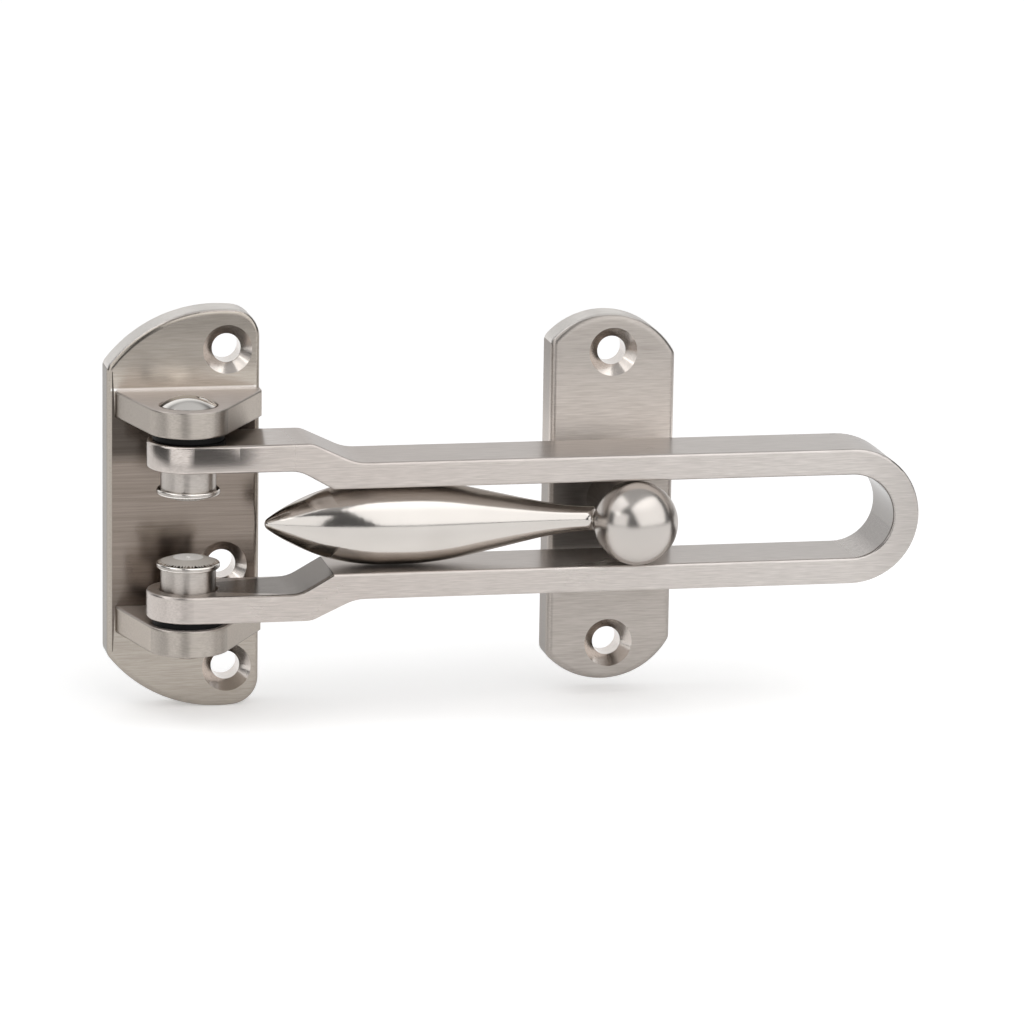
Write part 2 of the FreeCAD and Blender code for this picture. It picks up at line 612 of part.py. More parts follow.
def arm_profile(sketch):
    """Half section of the arm on its axis: blunt nose, ogive, full diameter, taper and neck."""
    length, full, neck = size("arm_length"), size("arm_dia") / 2, size("neck_dia") / 2
    nose, shoulder, waist = size("arm_nose_round"), size("arm_shoulder_length"), size("arm_waist_length")
    x_full = -length + size("arm_nose_length")
    x_taper = x_full + size("arm_full_length")
    x_neck = -size("neck_length")
    reach = size("arm_nose_length") - nose
    ogive = (reach ** 2 + full ** 2 - nose ** 2) / (2 * (full - nose))
    lean = math.atan2(ogive - full, reach)
    slope = (full - neck) / (measure(ARM_TAPER) - (shoulder + waist) / 2)
    turn_radius, hollow_radius = shoulder / math.sin(slope), waist / math.sin(slope)
    x1, r1 = x_taper + shoulder, full - shoulder * math.tan(slope / 2)
    x2, r2 = x_neck - waist, neck + waist * math.tan(slope / 2)
    up, down = math.pi / 2, -math.pi / 2
    chain(sketch, [
        arc(-length + nose, 0, nose, math.pi - lean, math.pi),
        arc(x_full, full - ogive, ogive, up, math.pi - lean),
        line(x_full, full, x_taper, full),
        arc(x_taper, full - turn_radius, turn_radius, up - slope, up),
        line(x1, r1, x2, r2),
        arc(x_neck, neck + hollow_radius, hollow_radius, down - slope, down),
        line(x_neck, neck, 0, neck),
        line(0, neck, 0, 0),
        line(0, 0, -length, 0),
    ], smooth=(0, 1, 2, 3, 4, 5))
    blunt, side, barrel, turn, taper, hollow, shank, end, axis = range(9)
    tie(sketch, "PointOnObject", blunt, CENTRE, ACROSS)
    tie(sketch, "Horizontal", barrel)
    tie(sketch, "Horizontal", shank)
    tie(sketch, "Coincident", end, END, *ORIGIN)
    tie(sketch, "Vertical", end)
    tie(sketch, "Horizontal", axis)
    fix(sketch, "Radius", blunt, "arm_nose_round")
    fix(sketch, "DistanceX", turn, END, turn, START, "arm_shoulder_length")
    fix(sketch, "DistanceX", hollow, START, hollow, END, "arm_waist_length")
    fix(sketch, "DistanceX", axis, END, *ORIGIN, "arm_length")
    fix(sketch, "DistanceX", axis, END, barrel, START, "arm_nose_length")
    fix(sketch, "DistanceX", barrel, START, barrel, END, "arm_full_length")
    fix(sketch, "DistanceX", shank, START, *ORIGIN, "neck_length")
    fix(sketch, "DistanceY", *ORIGIN, barrel, START, "arm_dia / 2")
    fix(sketch, "DistanceY", *ORIGIN, shank, START, "neck_dia / 2")


def make_ball_arm():
    """Polished ball on a stem, with a pointed arm that leaves the back of the ball towards the pivot."""
    body = new_body("ball_arm")
    sketch = new_sketch(body, "XY_Plane", "arm_profile")
    sketch.setExpression("AttachmentOffset.Base.y", bound("arm_set_back"))
    sketch.AttachmentOffset.Rotation = FreeCAD.Rotation(FreeCAD.Vector(0, 0, 1), 0)
    sketch.setExpression("AttachmentOffset.Rotation.Angle", bound("0 - arm_tilt"))
    arm_profile(sketch)
    revolve(body, sketch, "arm_turned", "H_Axis")
    ball = body.newObject("PartDesign::AdditiveSphere", "ball")
    ball.setExpression("Radius", bound("ball_dia / 2"))
    doc.recompute()
    neck_end = FreeCAD.Vector(-measure("ball_dia / 2"), size("arm_set_back"), 0)
    dress(body, "Fillet", "neck_root", lambda edge, mid: edge.BoundBox.Center.x < 0
          and edge.BoundBox.Center.distanceToPoint(neck_end) < size("ball_dia") / 4
          and edge.BoundBox.DiagonalLength < 2 * size("neck_dia"), "neck_root_round")
    stem = new_sketch(body, "XZ_Plane", "stem_section")
    circle(stem, None, None, "stem_dia")
    pad(body, stem, "stem", "ball_stand - keeper_thick", backwards=True)
    tapped = new_sketch(body, "XZ_Plane", "stem_tapping", raised="keeper_thick - ball_stand")
    circle(tapped, None, None, "bolt_dia + 2 * pin_seat_clear")
    before = body.Shape.Volume
    hole = body.newObject("PartDesign::Pocket", "stem_tapped_hole")
    hole.Profile = tapped
    hole.Reversed = True
    hole.setExpression("Length", bound("bolt_grip + bolt_tap_spare"))
    doc.recompute()
    check_cut(body, "stem_tapped_hole", before)
    place(body, x="keeper_offset", y="0 - ball_stand")
    return body


def make_stem_screw():
    """Countersunk screw through the keeper plate into the stem, with a hexagon socket."""
    body = new_body("stem_screw")
    depth = "bolt_sink + ( bolt_head_dia - bolt_dia ) / 2"
    tip = "keeper_thick + bolt_grip"
    head, shank = size("bolt_head_dia") / 2, size("bolt_dia") / 2
    top, cone, end = -size("bolt_sink"), -measure(depth), -measure(tip)
    sketch = new_sketch(body, "XY_Plane", "stem_screw_profile")
    chain(sketch, [
        line(0, top, head, top),
        line(head, top, shank, cone),
        line(shank, cone, shank, end),
        line(shank, end, 0, end),
        line(0, end, 0, top),
    ])
    face, slope, side, point_end, axis = range(5)
    tie(sketch, "Horizontal", face)
    tie(sketch, "Vertical", side)
    tie(sketch, "Horizontal", point_end)
    tie(sketch, "PointOnObject", axis, START, UPRIGHT)
    tie(sketch, "PointOnObject", axis, END, UPRIGHT)
    fix(sketch, "DistanceX", *ORIGIN, face, END, "bolt_head_dia / 2")
    fix(sketch, "DistanceX", *ORIGIN, slope, END, "bolt_dia / 2")
    fix(sketch, "DistanceY", face, END, *ORIGIN, "bolt_sink")
    fix(sketch, "DistanceY", slope, END, *ORIGIN, depth)
    fix(sketch, "DistanceY", side, END, *ORIGIN, tip)
    revolve(body, sketch, "stem_screw_turned", "V_Axis")
    socket = new_sketch(body, "XZ_Plane", "stem_screw_socket", raised="bolt_sink")
    radius = size("bolt_socket") / math.sqrt(3)
    corners = [(radius * math.cos(i * math.pi / 3), radius * math.sin(i * math.pi / 3)) for i in range(6)]
    chain(socket, [line(*corners[i], *corners[(i + 1) % 6]) for i in range(6)])
    around = socket.addGeometry(Part.Circle(point(0, 0), FreeCAD.Vector(0, 0, 1), radius), True)
    for side in range(6):
        tie(socket, "PointOnObject", side, START, around)
    for side in range(1, 6):
        tie(socket, "Equal", 0, side)
    tie(socket, "Coincident", around, CENTRE, *ORIGIN)
    tie(socket, "PointOnObject", 0, START, ACROSS)
    fix(socket, "Distance", 0, START, 3, "bolt_socket")
    before = body.Shape.Volume
    pocket = body.newObject("PartDesign::Pocket", "stem_screw_hexagon")
    pocket.Profile = socket
    pocket.Reversed = True
    pocket.setExpression("Length", bound("bolt_socket_depth"))
    doc.recompute()
    check_cut(body, "stem_screw_hexagon", before)
    place(body, x="keeper_offset")
    return body


NODES = [
    make_hinge_plate(),
    make_swing_bar(),
    make_pin("upper_pivot_pin", False),
    make_pin("lower_pivot_pin", True),
    make_washer("upper_thrust_washer", "ear_gap / 2 - washer_thick"),
    make_washer("lower_thrust_washer", "0 - ear_gap / 2"),
    make_keeper_plate(),
    make_ball_arm(),
    make_stem_screw(),
]
doc.recompute()

for item in doc.Objects:
    if "Invalid" in item.State or "Error" in item.State:
        raise RuntimeError(item.Name + " did not build")
for node in NODES:
    if node.Shape.isNull() or not node.Shape.isValid() or len(node.Shape.Solids) != 1:
        raise RuntimeError(node.Label + " is not one sound solid")

os.makedirs("parts", exist_ok=True)
for node in NODES:
    node.Shape.exportStep("parts/%s.step" % node.Label)
    print("%-22s %9.1f mm3" % (node.Label, node.Shape.Volume))
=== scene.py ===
import math

import bpy
from mathutils import Matrix, Vector


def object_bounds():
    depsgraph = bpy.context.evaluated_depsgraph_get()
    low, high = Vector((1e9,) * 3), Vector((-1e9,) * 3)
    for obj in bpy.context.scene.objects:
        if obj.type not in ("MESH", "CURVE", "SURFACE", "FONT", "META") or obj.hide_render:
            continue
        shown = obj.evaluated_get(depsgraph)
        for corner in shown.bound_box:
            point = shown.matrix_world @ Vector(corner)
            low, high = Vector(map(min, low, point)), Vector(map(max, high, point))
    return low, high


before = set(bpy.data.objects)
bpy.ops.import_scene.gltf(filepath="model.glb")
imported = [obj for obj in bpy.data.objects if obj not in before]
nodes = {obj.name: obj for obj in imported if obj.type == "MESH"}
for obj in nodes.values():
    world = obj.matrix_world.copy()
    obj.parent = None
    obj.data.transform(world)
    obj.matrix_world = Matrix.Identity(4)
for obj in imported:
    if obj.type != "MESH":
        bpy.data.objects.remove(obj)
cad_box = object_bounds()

scene = bpy.context.scene


# Camera, solved from the photograph's edges.
AZIMUTH, ELEVATION, ROLL = math.radians(-11.70), math.radians(12.483), math.radians(0.87)
TARGET = Vector((0.060, -0.015, 0.0))
DISTANCE = 1.02617
FOCAL_PX, IMAGE_PX = 5741.9, 1024.0
TARGET_PX = (516.67, 511.1)
SENSOR_MM = 36.0
CLIP_START, CLIP_END = 0.05, 20.0


def add_camera():
    back = Vector((math.sin(AZIMUTH) * math.cos(ELEVATION),
                   -math.cos(AZIMUTH) * math.cos(ELEVATION),
                   math.sin(ELEVATION)))
    right = Vector((math.cos(AZIMUTH), math.sin(AZIMUTH), 0.0))
    up = back.cross(right)
    rolled_right = math.cos(ROLL) * right + math.sin(ROLL) * up
    rolled_up = -math.sin(ROLL) * right + math.cos(ROLL) * up
    place = TARGET + DISTANCE * back
    # The optical axis passes beside the target by a few pixels.
    scale = DISTANCE / FOCAL_PX
    place = place - rolled_right * (TARGET_PX[0] - IMAGE_PX / 2) * scale
    place = place + rolled_up * (TARGET_PX[1] - IMAGE_PX / 2) * scale
    data = bpy.data.cameras.new("camera")
    data.sensor_fit = "HORIZONTAL"
    data.sensor_width = SENSOR_MM
    data.lens = FOCAL_PX / IMAGE_PX * SENSOR_MM
    data.clip_start = CLIP_START
    data.clip_end = CLIP_END
    camera = bpy.data.objects.new("camera", data)
    scene.collection.objects.link(camera)
    turn = Matrix((rolled_right, rolled_up, back)).transposed().to_4x4()
    camera.matrix_world = Matrix.Translation(place) @ turn
    scene.camera = camera


# Node trees.
COLOUR_A, COLOUR_B, COLOUR_OUT = 6, 7, 2  # sockets of a Mix node that mixes colours


class Nodes:
    """Short calls for a material's node tree."""

    def __init__(self, name):
        self.material = bpy.data.materials.new(name)
        self.material.use_nodes = True
        self.tree = self.material.node_tree
        self.shader = self.tree.nodes["Principled BSDF"]
        self.under = None  # normal below the brush lines, if it isn't the mesh's own

    def add(self, kind, **inputs):
        node = self.tree.nodes.new(kind)
        for key, value in inputs.items():
            self.put(node, key.replace("_", " "), value)
        return node

    def put(self, node, key, value):
        if isinstance(value, bpy.types.NodeSocket):
            self.tree.links.new(value, node.inputs[key])
        else:
            node.inputs[key].default_value = value

    def coordinates(self, scale=(1.0, 1.0, 1.0), move=(0.0, 0.0, 0.0)):
        where = self.add("ShaderNodeTexCoord")
        mapping = self.add("ShaderNodeMapping", Vector=where.outputs["Object"])
        mapping.inputs["Scale"].default_value = scale
        mapping.inputs["Location"].default_value = move
        return mapping.outputs["Vector"]

    def axis(self, name):
        where = self.add("ShaderNodeTexCoord")
        return self.add("ShaderNodeSeparateXYZ", Vector=where.outputs["Object"]).outputs[name]

    def length(self, vector):
        node = self.add("ShaderNodeVectorMath")
        node.operation = "LENGTH"
        self.put(node, 0, vector)
        return node.outputs["Value"]

    def combine(self, operation, first, second):
        node = self.add("ShaderNodeMath")
        node.operation = operation
        self.put(node, 0, first)
        self.put(node, 1, second)
        return node.outputs["Value"]

    def noise(self, vector, scale, detail=2.0, rough=0.5):
        node = self.add("ShaderNodeTexNoise", Vector=vector, Scale=scale, Detail=detail, Roughness=rough)
        return node.outputs["Fac"]

    def spread(self, value, low, high, start=0.0, end=1.0):
        node = self.add("ShaderNodeMapRange", Value=value)
        for key, number in (("From Min", start), ("From Max", end), ("To Min", low), ("To Max", high)):
            node.inputs[key].default_value = number
        return node.outputs["Result"]

    def ramp(self, value, *stops):
        """Colour ramp whose stops hold a colour or a grey level."""
        node = self.add("ShaderNodeValToRGB", Fac=value)
        elements = node.color_ramp.elements
        while len(elements) < len(stops):
            elements.new(0.5)
        for element, (place, colour) in zip(elements, stops):
            element.position = place
            element.color = (*(colour if isinstance(colour, tuple) else (colour,) * 3), 1.0)
        return node.outputs["Color"]

    def mixed(self, kind, share, first, second):
        """Second colour mixed into the first by a share."""
        node = self.add("ShaderNodeMix")
        node.data_type = "RGBA"
        node.blend_type = kind
        self.put(node, 0, share)
        self.put(node, COLOUR_A, first)
        self.put(node, COLOUR_B, second)
        return node.outputs[COLOUR_OUT]

    def toned_along(self, colour, axis, low, high, stops, share=1.0):
        """Colour darkened in steps along an axis between two places."""
        level = self.spread(self.axis(axis), 0.0, 1.0, low, high)
        return self.mixed("MULTIPLY", share, colour, self.ramp(level, *stops))

    def band(self, axis, middle, half, fade):
        """1 within a band across an axis and 0 outside it."""
        away = self.add("ShaderNodeMath")
        away.operation = "ABSOLUTE"
        self.put(away, 0, self.combine("SUBTRACT", self.axis(axis), middle))
        return self.spread(away.outputs["Value"], 1.0, 0.0, half, half + fade)

    def bump(self, height, strength, distance, under=None):
        node = self.add("ShaderNodeBump", Height=height, Strength=strength, Distance=distance)
        if under is not None:
            self.put(node, "Normal", under)
        return node.outputs["Normal"]


# Places of the finishes in metres, and components of facet normals.
PIVOT_STAND = 0.0202
PIN_CAP_RADIUS, CAP_TILT, UPRIGHT = 0.0050, 0.5, 0.1
CAP_FLAT, CAP_FADE = 0.0028, 0.0004
COUNTERSINK_RADIUS, FLAT_FACE = 0.0044, 0.95
BALL_CENTRE, BALL_RADIUS = Vector((0.0791, -0.0272, 0.0)), 0.0077
EAR_INSIDE, RECESS_FACE = 0.0171, 0.99
PLATE_FRONT, FACE_FROM, FACE_TO = 0.0066, 0.00648, 0.00640
LEFT_FLANK, RIGHT_FLANK, EAR_TOP = 0.94, 0.86, 0.7
RIM_TILT, RIM_RISE = 0.5, 0.25
BEND_FROM, BEND_TO, BEND_TILT = 0.0085, 0.0262, 0.3
SCREW_HOLES = ((0.0090, 0.0290), (0.0090, -0.0290), (0.0082, -0.0103), (0.0791, 0.0269), (0.0791, -0.0269))

# Spread of a brushed surface is across its lines: upright on the faces, front to back on the tops.
ACROSS_LINES = (0.0, 0.5, 0.866)
LINE_STRETCH, RECESS_STRETCH, RECESS_CLOUD_STRETCH = (0.06, 1.0, 1.0), (0.02, 1.0, 1.0), (0.2, 1.0, 1.0)
FINE_LINES, BROAD_LINES, CLOUDS = 4200.0, 1400.0, 45.0
LINE_ROUGHNESS = 0.006
MARK_DEPTH, GRAIN_DEPTH = 0.00001, 0.00002


def brushed_tangent(m):
    across = m.add("ShaderNodeCombineXYZ")
    for index, number in enumerate(ACROSS_LINES):
        across.inputs[index].default_value = number
    turned = m.add("ShaderNodeVectorTransform", Vector=across.outputs[0])
    turned.vector_type = "VECTOR"
    turned.convert_from = "OBJECT"
    turned.convert_to = "WORLD"
    m.put(m.shader, "Tangent", turned.outputs[0])


def front_face(m):
    """1 on the front of a plate and 0 on its sides and back."""
    return m.spread(m.axis("Y"), 1.0, 0.0, -FACE_FROM, -FACE_TO)


def satin_nickel(name, dark, light, tint, spread, roughness, change=None):
    """Brushed nickel plate: fine lines along the bar, soft roughness clouds, and any painted light and
    shade that a change adds.
    """
    m = Nodes(name)
    lines = m.coordinates(LINE_STRETCH)
    fine = m.noise(lines, FINE_LINES, 2.0, 0.6)
    broad = m.noise(lines, BROAD_LINES, 3.0, 0.6)
    clouds = m.noise(m.coordinates(), CLOUDS, 3.0, 0.5)
    colour = m.ramp(fine, (0.25, dark), (0.75, light))
    m.shader.inputs["Metallic"].default_value = 1.0
    m.shader.inputs["Specular Tint"].default_value = (tint, tint, tint, 1.0)
    m.shader.inputs["Anisotropic"].default_value = spread
    brushed_tangent(m)
    streaks = m.spread(broad, -LINE_ROUGHNESS, LINE_ROUGHNESS)
    rough = m.combine("ADD", streaks, m.spread(clouds, *roughness, 0.3, 0.7))
    if change:
        colour, rough = change(m, colour, rough)
    m.put(m.shader, "Base Color", colour)
    m.put(m.shader, "Roughness", rough)
    m.put(m.shader, "Normal", m.bump(fine, 0.15, MARK_DEPTH, m.under))
    return m.material


# Painted light and shade on every face of the keeper plate from its foot to its head: bright just above the
# bar, duller higher up.
# Behind the slot its front is painted darker at the left, as shade behind the ball.
KEEPER_HALF, KEEPER_LEFT, KEEPER_RIGHT = 0.034, 0.0677, 0.0906
KEEPER_PAINTED_TONES = ((0.0, 0.53), (0.10, 0.60), (0.33, 0.60), (0.37, 0.625), (0.62, 0.625), (0.65, 1.0),
                (0.71, 0.92), (0.75, 0.79), (0.79, 0.72), (0.90, 0.55), (1.0, 0.57))
BEHIND_SLOT, BEHIND_SLOT_FADE = 0.0085, 0.002
BEHIND_SLOT_PAINTED_SHADE = ((0.0, 0.36), (0.45, 0.34), (0.75, 0.85), (1.0, 1.0))


def keeper_painted_shading(m, colour, rough):
    # Painted light and shade along the plate's height, then painted shade behind the ball.
    colour = m.toned_along(colour, "Z", -KEEPER_HALF, KEEPER_HALF, KEEPER_PAINTED_TONES)
    behind = m.combine("MULTIPLY", m.band("Z", 0.0, BEHIND_SLOT, BEHIND_SLOT_FADE), front_face(m))
    return m.toned_along(colour, "X", KEEPER_LEFT, KEEPER_RIGHT, BEHIND_SLOT_PAINTED_SHADE, behind), rough


# Painted light and shade on the hinge plate's front from its foot to its head, its sides and back a fixed
# share darker, and a painted highlight line where the upper ear meets it.
HINGE_HALF, HINGE_SIDES = 0.037, 0.77
HINGE_PAINTED_TONES = ((0.0, 0.77), (0.79, 0.77), (0.80, 1.0), (0.83, 0.96), (0.845, 0.85), (0.86, 0.67),
               (0.92, 0.60), (0.95, 0.51))
EAR_ROOT, ROOT_HALF, ROOT_FADE = 0.0222, 0.00016, 0.00016


def hinge_painted_shading(m, colour, rough):
    front = front_face(m)
    colour = m.mixed("MULTIPLY", 1.0, colour, m.ramp(front, (0.0, HINGE_SIDES), (1.0, 1.0)))
    colour = m.toned_along(colour, "Z", -HINGE_HALF, HINGE_HALF, HINGE_PAINTED_TONES, front)
    # Painted highlight along the root of the upper ear.
    line = m.combine("MULTIPLY", m.band("Z", EAR_ROOT, ROOT_HALF, ROOT_FADE), front)
    painted_root_highlight = m.ramp(line, (0.0, (0.90, 0.87, 0.84)), (1.0, (0.96, 0.94, 0.92)))
    return m.mixed("MIX", line, colour, painted_root_highlight), rough


# Tone of the bar from its neck to the end of the loop.
BAR_NECK, BAR_END, BAR_SPREAD = 0.03, 0.13, 0.8
BAR_TONES = ((0.0, (0.94, 0.915, 0.90)), (0.8, 1.0), (0.9, 1.0), (1.0, 0.84))

# The inside of the loop is smoother than the outside, and painted darker there as shade.
LOOP_CENTRE, LOOP_INSIDE, LOOP_EDGE, LOOP_FADE = 0.1187, 0.0080, 0.0003, 0.005
LOOP_ROUGHNESS, LOOP_PAINTED_SHADE = 0.55, 0.60

# The upper end of the bar is rubbed smooth and rounded over, fading out along the bar.
RUBBED_FROM, RUBBED_TO, RUBBED_LEVEL, RUBBED_FADE = 0.020, 0.008, 0.009, 0.001
RUBBED_ROUGHNESS, RUBBED_SPREAD = 0.65, 0.1
ROUND_FROM, ROUND_END, ROUND_SLOPE = 0.013, -0.012, 0.28
CROWN_LEVEL, CROWN_RADIUS = 0.0103, 0.020


def bar_change(m, colour, rough):
    mask, rounding = rubbed_end(m)
    rough = m.combine("MULTIPLY", rough, m.spread(mask, 1.0, RUBBED_ROUGHNESS))
    m.put(m.shader, "Anisotropic", m.spread(mask, BAR_SPREAD, RUBBED_SPREAD))
    m.under = m.bump(rounding, 1.0, 1.0)
    inside = inside_loop(m)
    rough = m.combine("MULTIPLY", rough, m.spread(inside, 1.0, LOOP_ROUGHNESS))
    colour = m.toned_along(colour, "X", BAR_NECK, BAR_END, BAR_TONES)
    # Painted shade inside the loop.
    return m.mixed("MULTIPLY", inside, colour, m.ramp(inside, (0.0, 1.0), (1.0, LOOP_PAINTED_SHADE))), rough


def inside_loop(m):
    from_centre = m.coordinates((1.0, 0.0, 1.0), (-LOOP_CENTRE, 0.0, 0.0))
    parts = m.add("ShaderNodeSeparateXYZ", Vector=from_centre)
    past = m.spread(parts.outputs["X"], 0.0, 1.0, 0.0, LOOP_FADE)
    near = m.spread(m.length(from_centre), 1.0, 0.0, LOOP_INSIDE - LOOP_EDGE, LOOP_INSIDE)
    return m.combine("MULTIPLY", past, near)


def squared(m, value, share):
    return m.combine("MULTIPLY", m.combine("MULTIPLY", value, value), share)


def rubbed_end(m):
    """Mask of the rubbed end and the height of its rounding in metres."""
    along, level = m.axis("X"), m.axis("Z")
    near = m.spread(along, 0.0, 1.0, RUBBED_FROM, RUBBED_TO)
    upper = m.spread(level, 0.0, 1.0, RUBBED_LEVEL - RUBBED_FADE, RUBBED_LEVEL)
    mask = m.combine("MULTIPLY", near, upper)
    back = m.spread(along, ROUND_FROM, 0.0, 0.0, ROUND_FROM)
    front = squared(m, back, -0.5 * ROUND_SLOPE / ROUND_FROM)
    past = m.spread(along, ROUND_END, 0.0, ROUND_END, 0.0)
    bent = squared(m, past, -0.5 * ROUND_SLOPE / ROUND_END)
    tail = m.combine("ADD", m.combine("MULTIPLY", past, ROUND_SLOPE), bent)
    side = m.combine("ADD", front, tail)
    crown = squared(m, m.combine("SUBTRACT", level, CROWN_LEVEL), -0.5 / CROWN_RADIUS)
    faded = m.combine("MULTIPLY", crown, near)
    return mask, m.combine("MULTIPLY", m.combine("ADD", side, faded), upper)


# Painted shade on the recess from the lower ear to the upper one: darker next to both ears, darkest under
# the upper one.
RECESS_PAINTED_SHADE = ((0.0, 0.55), (0.12, 0.85), (0.30, 1.0), (0.75, 1.0), (0.82, 0.34), (1.0, 0.30))


def smooth_nickel(name, dark, light):
    """Face between the ears, which the brush doesn't reach: smoother, and darkened all over as painted
    shade.
    """
    m = Nodes(name)
    fine = m.noise(m.coordinates(RECESS_STRETCH), 3200.0, 2.0, 0.6)
    clouds = m.noise(m.coordinates(RECESS_CLOUD_STRETCH), 200.0, 3.0, 0.5)
    colour = m.ramp(fine, (0.25, dark), (0.75, light))
    m.put(m.shader, "Base Color", m.toned_along(colour, "Z", -EAR_INSIDE, EAR_INSIDE, RECESS_PAINTED_SHADE))
    m.shader.inputs["Metallic"].default_value = 1.0
    m.shader.inputs["Specular Tint"].default_value = (0.60, 0.57, 0.54, 1.0)
    m.shader.inputs["Anisotropic"].default_value = 0.6
    brushed_tangent(m)
    m.put(m.shader, "Roughness", m.spread(clouds, 0.14, 0.22, 0.3, 0.7))
    m.put(m.shader, "Normal", m.bump(fine, 0.12, MARK_DEPTH))
    return m.material


def cut_nickel(name):
    """Countersinks cut after brushing, so their cones are bright."""
    m = Nodes(name)
    marks = m.noise(m.coordinates(), 900.0, 3.0, 0.6)
    m.put(m.shader, "Base Color", m.ramp(marks, (0.3, (0.60, 0.55, 0.51)), (0.7, (0.66, 0.61, 0.57))))
    m.shader.inputs["Metallic"].default_value = 1.0
    m.put(m.shader, "Roughness", m.spread(marks, 0.14, 0.20))
    m.put(m.shader, "Normal", m.bump(marks, 0.05, MARK_DEPTH))
    return m.material


def turned_nickel(name):
    """Turned end of a pivot pin: fine rings, made near white as painted light, with the cone about the flat
    painted darker as shade.
    """
    m = Nodes(name)
    to_axis = (0.0, PIVOT_STAND, 0.0)
    about_axis = m.coordinates(move=to_axis)
    wave = m.add("ShaderNodeTexWave", Vector=about_axis, Scale=900.0, Distortion=0.4, Detail=2.0)
    wave.wave_type = "RINGS"
    wave.rings_direction = "Z"
    rings = wave.outputs["Fac"]
    colour = m.ramp(rings, (0.0, (0.90, 0.88, 0.85)), (1.0, (0.98, 0.96, 0.93)))
    radius = m.length(m.coordinates((1.0, 1.0, 0.0), to_axis))
    cone = m.spread(radius, 0.0, 1.0, CAP_FLAT - CAP_FADE, CAP_FLAT)
    # Painted shade on the cone about the flat.
    shade = m.ramp(cone, (0.0, 1.0), (1.0, (0.60, 0.57, 0.54)))
    m.put(m.shader, "Base Color", m.mixed("MULTIPLY", cone, colour, shade))
    m.shader.inputs["Metallic"].default_value = 0.3
    m.put(m.shader, "Roughness", m.spread(rings, 0.40, 0.55))
    m.put(m.shader, "Normal", m.bump(rings, 0.10, GRAIN_DEPTH))
    return m.material


def polished_nickel(name, dark, light, roughness):
    """Polished nickel with faint polishing marks."""
    m = Nodes(name)
    marks = m.noise(m.coordinates(), 600.0, 3.0, 0.6)
    clouds = m.noise(m.coordinates(), 70.0, 2.0, 0.5)
    m.put(m.shader, "Base Color", m.ramp(clouds, (0.3, dark), (0.7, light)))
    m.shader.inputs["Metallic"].default_value = 1.0
    m.shader.inputs["Specular Tint"].default_value = (0.75, 0.74, 0.73, 1.0)
    m.put(m.shader, "Roughness", m.spread(clouds, *roughness, 0.3, 0.7))
    m.put(m.shader, "Normal", m.bump(marks, 0.03, MARK_DEPTH))
    return m.material


# Black nylon of the thrust washers, made almost black, partly as painted shade of the gap between ear and
# bar.
def nylon(name):
    m = Nodes(name)
    grain = m.noise(m.coordinates(), 900.0, 3.0, 0.6)
    m.put(m.shader, "Base Color", m.ramp(grain, (0.3, 0.004), (0.7, 0.007)))
    m.put(m.shader, "Roughness", m.spread(grain, 0.45, 0.60))
    m.shader.inputs["Specular IOR Level"].default_value = 0.12
    m.put(m.shader, "Normal", m.bump(grain, 0.1, GRAIN_DEPTH))
    return m.material


def zinc_plate(name):
    m = Nodes(name)
    spangle = m.noise(m.coordinates(), 500.0, 3.0, 0.6)
    m.put(m.shader, "Base Color", m.ramp(spangle, (0.3, (0.55, 0.56, 0.58)), (0.7, (0.66, 0.67, 0.68))))
    m.shader.inputs["Metallic"].default_value = 1.0
    m.put(m.shader, "Roughness", m.spread(spangle, 0.22, 0.38))
    m.put(m.shader, "Normal", m.bump(spangle, 0.1, GRAIN_DEPTH))
    return m.material


# Facets of the finishes.
def in_recess(facet):
    facing = facet.normal.y < -RECESS_FACE and facet.center.y > -PLATE_FRONT
    return facing and abs(facet.center.z) < EAR_INSIDE


def in_countersink(facet):
    x, _, z = facet.center
    in_hole = any(math.hypot(x - hx, z - hz) < COUNTERSINK_RADIUS for hx, hz in SCREW_HOLES)
    return in_hole and abs(facet.normal.y) < FLAT_FACE


def on_arch(facet):
    _, ny, nz = facet.normal
    return abs(ny) < RIM_TILT and nz > RIM_RISE and facet.center.y > -PLATE_FRONT


def on_ear(facet):
    return facet.center.y < -PLATE_FRONT


def on_flank(facet):
    """Right flank of either ear, or left flank of the lower one."""
    left = facet.normal.x < -LEFT_FLANK and facet.center.z < 0.0
    return on_ear(facet) and (left or facet.normal.x > RIGHT_FLANK)


def on_top(facet):
    return facet.normal.z > EAR_TOP


def in_lower_bend(facet):
    return facet.normal.z > BEND_TILT and facet.center.z < 0.0 and BEND_FROM < facet.center.x < BEND_TO


def on_pin_cap(facet):
    x, y, z = facet.center
    inner_end = facet.normal.z * z < 0.0 and abs(facet.normal.z) > CAP_TILT
    return inner_end and math.hypot(x, y + PIVOT_STAND) < PIN_CAP_RADIUS


def on_pin_shank(facet):
    return abs(facet.normal.z) < UPRIGHT


def on_ball(facet):
    return (facet.center - BALL_CENTRE).length < BALL_RADIUS


